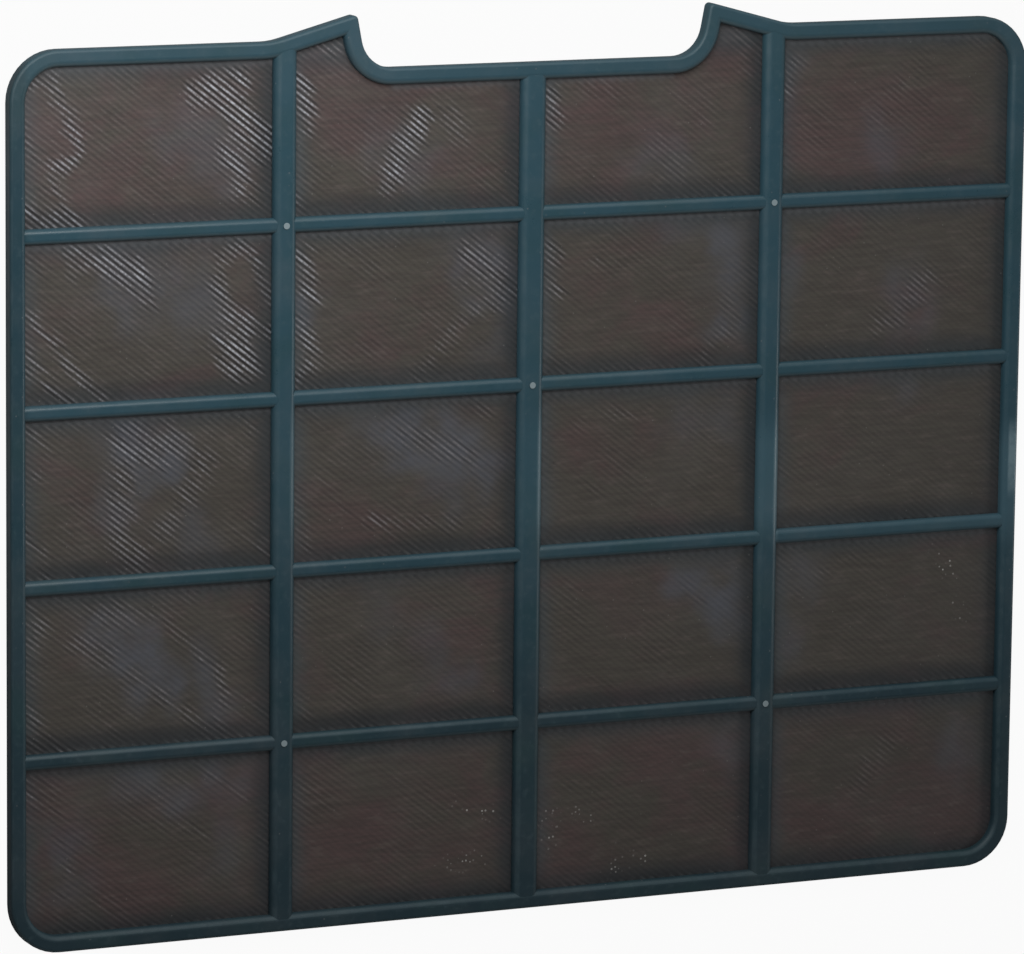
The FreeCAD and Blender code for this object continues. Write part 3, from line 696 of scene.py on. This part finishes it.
def net_dirt_and_painted_light(tree, colour, place, blotch, colours):
    """Lays painted shade along the ribs, painted light just under the rails and the top band and right
    of the stiles, and dust, specks and painted glint dots over a colour.
    """
    # Painted shade along the ribs
    painted_shade = product(tree, mark_of(tree, "painted_shade"), ramp(tree, blotch, 0.25, 0.7, 0.42, 0.58))
    colour = mix_colour(tree, painted_shade, colour, colours.painted_shade)
    # Painted light that lifts the shade under the rails and the top band, and beside the stiles
    painted_light = product(tree, mark_of(tree, "painted_light"), 0.85)
    colour = mix_colour(tree, painted_light, colour, colours.dust_and_light_tint)
    dust = use_group(tree, dust_group(), Place=place, Amount=0.5, Specks=0.12)
    film = product(tree, dust.outputs["Film"], 0.14)
    colour = mix_colour(tree, film, colour, colours.dust)
    colour = mix_colour(tree, dust.outputs["Speck"], colour, colours.speck)
    # Painted glints in small dots, in the listed clusters
    away, pick = scattered_dots(tree, place, 700.0)
    dot_glint = product(tree, ramp(tree, away, 0.18, 0.34, 1.0, 0.0), mark_of(tree, "glint_dots"))
    dot_glint = product(tree, dot_glint, ramp(tree, pick, 0.55, 0.92))
    return mix_colour(tree, dot_glint, colour, colours.glint_dots)


def net_material(colours):
    """Brown-grey net: glints painted on the threads in places, painted shade at the ribs and bluish
    dust.
    """
    material, tree, shader = new_material("woven_net")
    place = tree.nodes.new("ShaderNodeTexCoord").outputs["Object"]
    along = add_node(tree, "ShaderNodeUVMap", {"uv_map": "threads"}).outputs["UV"]
    blotch = noise_node(tree, stretched(tree, place, (1.0, 1.7, 1.0)), 20.0, 5.0, 0.6, 0.5)
    cloth = net_cloth(tree, place, blotch, colours)

    # Along a thread the beads are about 1 mm long and the runs about 8 mm
    beads = noise_node(tree, stretched(tree, along, (1050, 571, 1)), 1.0, 1.5, 0.6)
    runs = noise_node(tree, stretched(tree, along, (130, 571, 1)), 1.0, 2.0, 0.5)
    glint = mark_of(tree, "glint")
    lit = product(tree, glint, ramp(tree, runs, 0.25, 0.60, 0.45, 1.0), clamp=True)
    crest = mark_of(tree, "crest")
    # Painted shade in the valleys between the threads, strongest where the glints are painted
    deep = ramp(tree, crest, 0.0, 0.75, 1.0, 0.0)
    deep = product(tree, deep, ramp(tree, lit, 0.0, 0.7, 0.10, 1.0))
    colour = mix_colour(tree, deep, cloth, colours.valley)
    # Painted glints on the threads' crests, beaded along them, soft and then bright
    beaded = ramp(tree, beads, 0.30, 0.66, 0.35, 1.0)
    strand = product(tree, ramp(tree, crest, 0.35, 0.95), beaded)
    soft = product(tree, strand, ramp(tree, lit, 0.0, 0.5, 0.0, 0.55))
    colour = mix_colour(tree, soft, colour, scaled(colours.thread, 1.9))
    bright = product(tree, strand, ramp(tree, lit, 0.15, 1.12, 0.0, 1.0))
    colour = mix_colour(tree, bright, colour, colours.sheen)
    colour = net_dirt_and_painted_light(tree, colour, place, blotch, colours)
    tree.links.new(colour, shader.inputs["Base Color"])

    rough = ramp(tree, beads, 0.3, 0.7, 0.62, 0.50)
    rough = math_node(tree, "SUBTRACT", rough, product(tree, lit, 0.20))
    tree.links.new(rough, shader.inputs["Roughness"])
    weave = product(tree, beads, ramp(tree, lit, 0.0, 0.8, 0.35, 1.0))
    bump = add_node(tree, "ShaderNodeBump", Height=weave, Strength=0.5, Distance=0.00015)
    tree.links.new(bump.outputs[0], shader.inputs["Normal"])
    shader.inputs["Specular IOR Level"].default_value = 0.5
    return material


# Net
def trim_net(bm):
    """Cuts the net to its outline, which stays hidden under the moulding.

    Plain cuts take off the sides and corners; the cuts round the notch and the horns
    are only scored there, and what lies beyond them is deleted."""
    side = PLATE_HIGH.x - NET_MARGIN
    top = TOP - NET_MARGIN
    horn_cut = 0.1545
    corner_reach = 0.0122
    corner_x = PLATE_HIGH.x - CORNER_RADIUS
    cuts = [
        ((side, 0, 0), (1, 0, 0)),
        ((-side, 0, 0), (-1, 0, 0)),
        ((0, BOTTOM + NET_MARGIN, 0), (0, -1, 0)),
    ]
    for x_sign in (-1, 1):
        for corner_y, y_sign in ((BOTTOM + CORNER_RADIUS, -1), (TOP - CORNER_RADIUS, 1)):
            outward = Vector((x_sign, y_sign, 0)).normalized()
            cuts.append((Vector((x_sign * corner_x, corner_y, 0)) + outward * corner_reach, outward))
    cuts.append(((0, horn_cut, 0), (0, 1, 0)))
    for point, normal in cuts:
        bmesh.ops.bisect_plane(
            bm, geom=bm.verts[:] + bm.edges[:] + bm.faces[:], dist=1e-7,
            plane_co=point, plane_no=normal, clear_outer=True,
        )

    # The notch and the horns lie above this level
    scored_from = 0.128
    hollow = Vector((NOTCH_STRAIGHT, TOP - NOTCH_DEPTH + NOTCH_RADIUS, 0.0))
    clear = NOTCH_RADIUS + NET_MARGIN
    scores = [((0, top, 0), (0, 1, 0)), ((0, hollow.y - clear, 0), (0, 1, 0))]
    for sign in (-1, 1):
        scores.append(((sign * HORN_FOOT, top, 0), (sign * HORN_SLOPE, 1, 0)))
        scores.append(((sign * HORN_FOOT, top, 0), (1, 0, 0)))
        scores.append(((sign * (hollow.x + clear), 0, 0), (1, 0, 0)))
        diagonal = Vector((sign, -1, 0)).normalized()
        scores.append((Vector((sign * hollow.x, hollow.y, 0)) + diagonal * clear, diagonal))
    for point, normal in scores:
        faces = [f for f in bm.faces if f.calc_center_median().y > scored_from]
        geometry = {item for f in faces for item in (f, *f.edges, *f.verts)}
        bmesh.ops.bisect_plane(
            bm, geom=list(geometry), dist=1e-7, plane_co=point, plane_no=normal
        )

    def outside(point):
        x, y = abs(point.x), point.y
        if y > top and x > HORN_FOOT:
            return True
        if x <= HORN_FOOT and y > top + (HORN_FOOT - x) * HORN_SLOPE:
            return True
        aside, below = x - hollow.x, hollow.y - y
        return aside < clear and below < clear and aside + below < clear * math.sqrt(2)

    doomed = [f for f in bm.faces if outside(f.calc_center_median())]
    bmesh.ops.delete(bm, geom=doomed, context="FACES")


def flat_net(sizes, step):
    """The front of the net laid flat: threads as ridges, slanting down to the right.

    Four rows of faces make each thread, so that it shades round."""
    rows_per_thread = 4
    # Large enough to cover the whole outline once the threads are turned
    length, least_across = 0.49, 0.48
    across = math.ceil(least_across / sizes.pitch) * sizes.pitch
    rows = round(across / sizes.pitch) * rows_per_thread
    columns = round(length / step)
    bm = bmesh.new()
    bmesh.ops.create_grid(bm, x_segments=columns, y_segments=rows, size=0.5)
    bmesh.ops.scale(bm, vec=(length, across, 1.0), verts=bm.verts)
    crest = bm.verts.layers.float.new("crest")
    for vert in bm.verts:
        vert[crest] = 0.5 - 0.5 * math.cos(2 * math.pi * vert.co.y / sizes.pitch)
    bmesh.ops.rotate(bm, cent=(0, 0, 0), matrix=Matrix.Rotation(-sizes.slant, 3, "Z"), verts=bm.verts)
    trim_net(bm)
    return bm


def reach_of(points, strokes, wander=0.0, soft=0.0009):
    """How strongly each point lies under any of the strokes, from 0 to 1."""
    strongest = np.zeros(len(points))
    for strength, width, *path in strokes:
        path = np.array(path) / 1000
        nearest = np.full(len(points), 1.0)
        for start, end in zip(path, path[1:]):
            run = end - start
            share = np.clip((points - start) @ run / (run @ run), 0, 1)
            gap = points - start - share[:, None] * run
            nearest = np.minimum(nearest, np.hypot(gap[:, 0], gap[:, 1]))
        edge = (nearest + wander - width / 2000) / soft
        strongest = np.maximum(strongest, strength / (1 + np.exp(np.clip(edge, -30, 30))))
    return strongest


def waves(points, length, seed):
    """Smooth random waves of about the given length, from -1 to 1."""
    rng = np.random.default_rng(seed)
    total = np.zeros(len(points))
    count = 14
    for _ in range(count):
        heading = rng.uniform(0, math.pi)
        pace = 2 * math.pi / (length * rng.uniform(0.7, 1.5))
        way = points @ np.array((math.cos(heading), math.sin(heading)))
        total += np.sin(pace * way + rng.uniform(0, 2 * math.pi))
    return np.clip(total / math.sqrt(count), -1, 1)


def rib_gaps(points):
    """How far the points are from the sides of each upright rib, and of each level one."""
    upright = [abs(points[:, 0] - middle) - half for middle, half in zip(STILES, STILE_HALF)]
    level = [abs(points[:, 1] - middle) - RAIL_HALF for middle in RAILS]
    return np.array(upright), np.array(level)


def hold_of(points):
    """0 at the ribs' sides and 1 well inside the windows between them."""
    upright, level = rib_gaps(points)
    upright_reach, level_reach = 0.020, 0.016
    hold = np.clip(upright / upright_reach, 0, 1).prod(axis=0)
    hold *= np.clip(level / level_reach, 0, 1).prod(axis=0)
    return np.sin(hold * math.pi / 2)


def fading(distance, reach, start=0.0, power=2):
    """1 at a distance of 0, fading over the reach, and 0 before the start."""
    return np.where(distance > start, np.exp(-(distance / reach) ** power), 0)


def shade_of(points):
    """How much shade is painted on the net along the ribs, mostly left of the stiles and above the
    rails.
    """
    painted_shade = np.zeros(len(points))
    for middle, half in zip(STILES[1:], STILE_HALF[1:]):
        away = middle - half - points[:, 0]
        weight, reach = (0.74, 0.0085) if middle == STILES[-1] else (1.0, 0.0064)
        painted_shade = np.maximum(painted_shade, weight * fading(away, reach, start=-half))
    for middle in RAILS:
        above = points[:, 1] - middle - RAIL_HALF
        weight = min(max(0.93 - 2.5 * middle, 0.85), 1.22)
        power = 2 if middle == RAILS[0] else 4
        painted_shade = np.maximum(painted_shade, weight * fading(above, 0.0065, power=power))
        below = middle - RAIL_HALF - points[:, 1]
        painted_shade = np.maximum(painted_shade, 0.50 * fading(below, 0.0060))
    return painted_shade


def painted_light_of(points):
    """How much light is painted on the net just below the rails and the top band, lifting their shade,
    and a little right of the stiles.
    """
    start = -0.001
    painted_light = np.zeros(len(points))
    for middle in RAILS[1:-1]:
        below = middle - RAIL_HALF - points[:, 1]
        painted_light = np.maximum(painted_light, fading(below, 0.0011, start))
    aside = abs(points[:, 0])
    below = np.where(aside < NOTCH_STRAIGHT, NOTCH_EDGE, BAND_EDGE) - points[:, 1]
    level = (aside < NOTCH_STRAIGHT) | (aside > STILE_MIDDLE)
    painted_light = np.maximum(painted_light, 0.8 * level * fading(below, 0.0013, start))
    higher = np.clip(points[:, 1] / 0.08 + 1, 0, 1)
    for strength, middle, half in zip((0.12, 0.28, 0.28), STILES[1:-1], STILE_HALF[1:-1]):
        beyond = points[:, 0] - middle - half
        painted_light = np.maximum(painted_light, strength * higher * fading(beyond, 0.0012, start))
    return painted_light


def rim_of(points):
    """How much fine dust is held along the ribs, on all their sides."""
    nearest = np.concatenate(rib_gaps(points)).min(axis=0)
    return np.exp(-(np.maximum(nearest, 0) / 0.0045) ** 2)


def glints_of(points, places, sizes, along, across):
    """How bright the threads glint: strongly in places, and faintly everywhere."""
    # Each thread's glints end a little sooner or later than its neighbours'
    rng = np.random.default_rng(5)
    most_threads = 800
    thread = np.floor(points @ across / sizes.pitch + 0.5).astype(int) + most_threads // 2
    ragged = rng.uniform(-0.0012, 0.0012, most_threads)[thread]
    uneven = rng.uniform(0.75, 1.0, most_threads)[thread]
    wander = ragged + 0.0012 * waves(places, 0.012, 3)
    glint = reach_of(places, GLINTS, wander, 0.0018) * uneven
    # The faint ones are stronger at the upper left and along the ribs
    faint = 0.21 - 0.8 * places @ along + 0.12 * waves(places, 0.035, 11)
    faint = np.clip(faint + 0.08 * rim_of(places), 0.08, 0.36) * uneven
    return glint, faint


def shape_net(bm, sizes, side):
    """Raises the threads, lets the net belly, and marks where it shines, where shade and light are
    painted on it, and where dirt lies.

    The back of the net, side -1, is shaped face up and turned over about Y afterwards."""
    bm.verts.ensure_lookup_table()
    crest = bm.verts.layers.float["crest"]
    points = np.array([vert.co.xy for vert in bm.verts])
    crests = np.array([vert[crest] for vert in bm.verts])
    places = points * (side, 1)
    along = np.array((math.cos(sizes.slant), -math.sin(sizes.slant)))
    across = np.array((math.sin(sizes.slant), math.cos(sizes.slant)))
    glint, faint = glints_of(points, places, sizes, along, across)

    swell = 0.8 * waves(places, 0.045, 21) + 0.4 * waves(places, 0.022, 22) + 0.6
    belly = side * sizes.slack * hold_of(places) * swell
    relief = sizes.thread_height * (sizes.calm + (1 - sizes.calm) * np.maximum(glint, faint))
    middle = NET_HIGH.z - sizes.thread_height / 2
    height = middle + relief * (crests - 0.5) + belly

    marks = {
        "glint": np.maximum(glint, 0.8 * faint),
        "painted_shade": shade_of(places),
        "rim": rim_of(places),
        "painted_light": painted_light_of(places),
        "cloud": reach_of(places, CLOUDS, 0.003 * waves(places, 0.015, 31), 0.0022),
        "glint_dots": reach_of(places, GLINT_DOTS),
    }
    layers = {name: bm.verts.layers.float.new(name) for name in marks}
    for index, vert in enumerate(bm.verts):
        vert.co.z = height[index]
        for name, layer in layers.items():
            vert[layer] = marks[name][index]
    threads = bm.loops.layers.uv.new("threads")
    turn = Matrix((along, across))
    for face in bm.faces:
        face.smooth = True
        for loop in face.loops:
            loop[threads].uv = turn @ loop.vert.co.xy


def add_piece(bm, name, material):
    mesh = bpy.data.meshes.new(name)
    bm.to_mesh(mesh)
    bm.free()
    mesh.materials.append(material)
    piece = bpy.data.objects.new(name, mesh)
    bpy.context.scene.collection.objects.link(piece)
    return piece


class FILTER_OT_finish_frame(bpy.types.Operator):
    """Gives the moulded frame its grain, rubbed edges and dust, and its painted highlights,
    reflections, light and shade
    """

    bl_idname = "net_filter.finish_frame"
    bl_label = "Finish Frame"

    def execute(self, context):
        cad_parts[FRAME_NODE].data.materials[0] = moulding_material(context.scene.filter_colours)
        return {"FINISHED"}


class FILTER_OT_lay_net(bpy.types.Operator):
    """Lays the net's front and back threads and puckers them between the ribs"""

    bl_idname = "net_filter.lay_net"
    bl_label = "Lay Net"

    def execute(self, context):
        sizes = context.scene.net_sizes
        material = net_material(context.scene.filter_colours)
        front = flat_net(sizes, sizes.step)
        back = flat_net(sizes, 2 * sizes.step)
        shape_net(front, sizes, 1)
        shape_net(back, sizes, -1)
        middle = (0, 0, (NET_LOW.z + NET_HIGH.z) / 2)
        bmesh.ops.rotate(back, cent=middle, matrix=Matrix.Rotation(math.pi, 3, "Y"), verts=back.verts)
        net = add_piece(front, "net_front", material)
        behind = add_piece(back, "net_back", material)
        for piece in (net, behind):
            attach(piece, "root")
        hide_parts(NET_NODE)
        return {"FINISHED"}


# Stage
def add_lamp(name, place, aim, size, power):
    data = bpy.data.lights.new(name, "AREA")
    data.shape = "RECTANGLE"
    data.size, data.size_y = size
    data.energy = power
    lamp = bpy.data.objects.new(name, data)
    lamp.location = place
    lamp.rotation_mode = "QUATERNION"
    lamp.rotation_quaternion = (Vector(aim) - Vector(place)).to_track_quat("-Z", "Y")
    bpy.context.scene.collection.objects.link(lamp)


def pale_material(name, colour, shown):
    """A pale surface that the camera sees nearly white, with the shadows kept."""
    material = bpy.data.materials.new(name)
    material.use_nodes = True
    tree = material.node_tree
    tree.nodes.clear()
    output = tree.nodes.new("ShaderNodeOutputMaterial")
    matt = add_node(tree, "ShaderNodeBsdfDiffuse", Color=(*colour, 1))
    white = add_node(tree, "ShaderNodeEmission", Color=(1, 1, 1, 1), Strength=1.0)
    path = tree.nodes.new("ShaderNodeLightPath")
    share = product(tree, path.outputs["Is Camera Ray"], shown)
    mixed = tree.nodes.new("ShaderNodeMixShader")
    tree.links.new(share, mixed.inputs[0])
    tree.links.new(matt.outputs[0], mixed.inputs[1])
    tree.links.new(white.outputs[0], mixed.inputs[2])
    tree.links.new(mixed.outputs[0], output.inputs["Surface"])
    return material


def pale_world(glow):
    """Even white light all round, seen by the camera as white."""
    world = bpy.data.worlds.new("surroundings")
    world.use_nodes = True
    tree = world.node_tree
    tree.nodes.clear()
    output = tree.nodes.new("ShaderNodeOutputWorld")
    path = tree.nodes.new("ShaderNodeLightPath")
    strength = product(tree, path.outputs["Is Camera Ray"], 1.0 - glow)
    strength = sum_of(tree, strength, glow)
    light = add_node(tree, "ShaderNodeBackground", Color=(1, 1, 1, 1), Strength=strength)
    tree.links.new(light.outputs[0], output.inputs["Surface"])
    return world


def add_camera():
    """The camera, whose lens and place give the photograph's frame."""
    camera = bpy.data.objects.new("camera", bpy.data.cameras.new("camera"))
    camera.data.sensor_width = CAMERA_SENSOR
    camera.data.lens = CAMERA_LENS
    camera.data.clip_end = 100.0
    back = CAMERA_RIGHT.cross(CAMERA_UP)
    turn = Matrix((CAMERA_RIGHT, CAMERA_UP, back)).transposed().to_4x4()
    camera.matrix_world = Matrix.Translation(CAMERA_PLACE) @ turn
    bpy.context.scene.collection.objects.link(camera)
    return camera


class FILTER_OT_set_stage(bpy.types.Operator):
    """Sets the camera, the lamps and the pale floor"""

    bl_idname = "net_filter.set_stage"
    bl_label = "Set Stage"

    def execute(self, context):
        scene = context.scene
        settings = scene.stage_settings
        scene.camera = add_camera()
        scene.world = pale_world(settings.glow)
        scene.view_settings.view_transform = "Standard"
        middle = (0, 0, 0)
        add_lamp("upper_lamp", (-0.17, 0.33, 0.34), middle, (0.44, 0.28), settings.window)
        add_lamp("rail_lamp", (0.27, 0.62, 0.42), middle, (0.22, 0.90), settings.rim)
        add_lamp("side_lamp", (0.70, -0.13, 0.30), (0.09, -0.01, 0), (0.14, 0.14), settings.side)

        floor_half, floor_drop = 4.0, 0.0001
        bm = bmesh.new()
        bmesh.ops.create_grid(bm, x_segments=1, y_segments=1, size=floor_half)
        bmesh.ops.translate(bm, vec=(0, 0, -floor_drop), verts=bm.verts)
        floor = add_piece(bm, "floor", pale_material("pale_floor", (0.35, 0.35, 0.35), 0.95))
        return {"FINISHED"}


class FILTER_PT_panel(bpy.types.Panel):
    """Shows the net's sizes, the colours and the stage, and the buttons that build them"""

    bl_idname = "FILTER_PT_panel"
    bl_label = "Net Filter"
    bl_space_type = "VIEW_3D"
    bl_region_type = "UI"
    bl_category = "Net Filter"

    def draw(self, context):
        layout = self.layout
        scene = context.scene
        for group in (scene.net_sizes, scene.filter_colours, scene.stage_settings):
            box = layout.box()
            for name in group.__annotations__:
                box.prop(group, name)
        for operator in (FILTER_OT_finish_frame, FILTER_OT_lay_net, FILTER_OT_set_stage):
            layout.operator(operator.bl_idname)


CLASSES = (
    NetSizes,
    FilterColours,
    StageSettings,
    FILTER_OT_finish_frame,
    FILTER_OT_lay_net,
    FILTER_OT_set_stage,
    FILTER_PT_panel,
)


def register():
    for cls in CLASSES:
        bpy.utils.register_class(cls)
    bpy.types.Scene.net_sizes = PointerProperty(type=NetSizes)
    bpy.types.Scene.filter_colours = PointerProperty(type=FilterColours)
    bpy.types.Scene.stage_settings = PointerProperty(type=StageSettings)


def unregister():
    del bpy.types.Scene.stage_settings
    del bpy.types.Scene.filter_colours
    del bpy.types.Scene.net_sizes
    for cls in reversed(CLASSES):
        bpy.utils.unregister_class(cls)


def main():
    register()
    bpy.ops.net_filter.finish_frame()
    bpy.ops.net_filter.lay_net()
    bpy.ops.net_filter.set_stage()


if __name__ == "__main__":
    main()
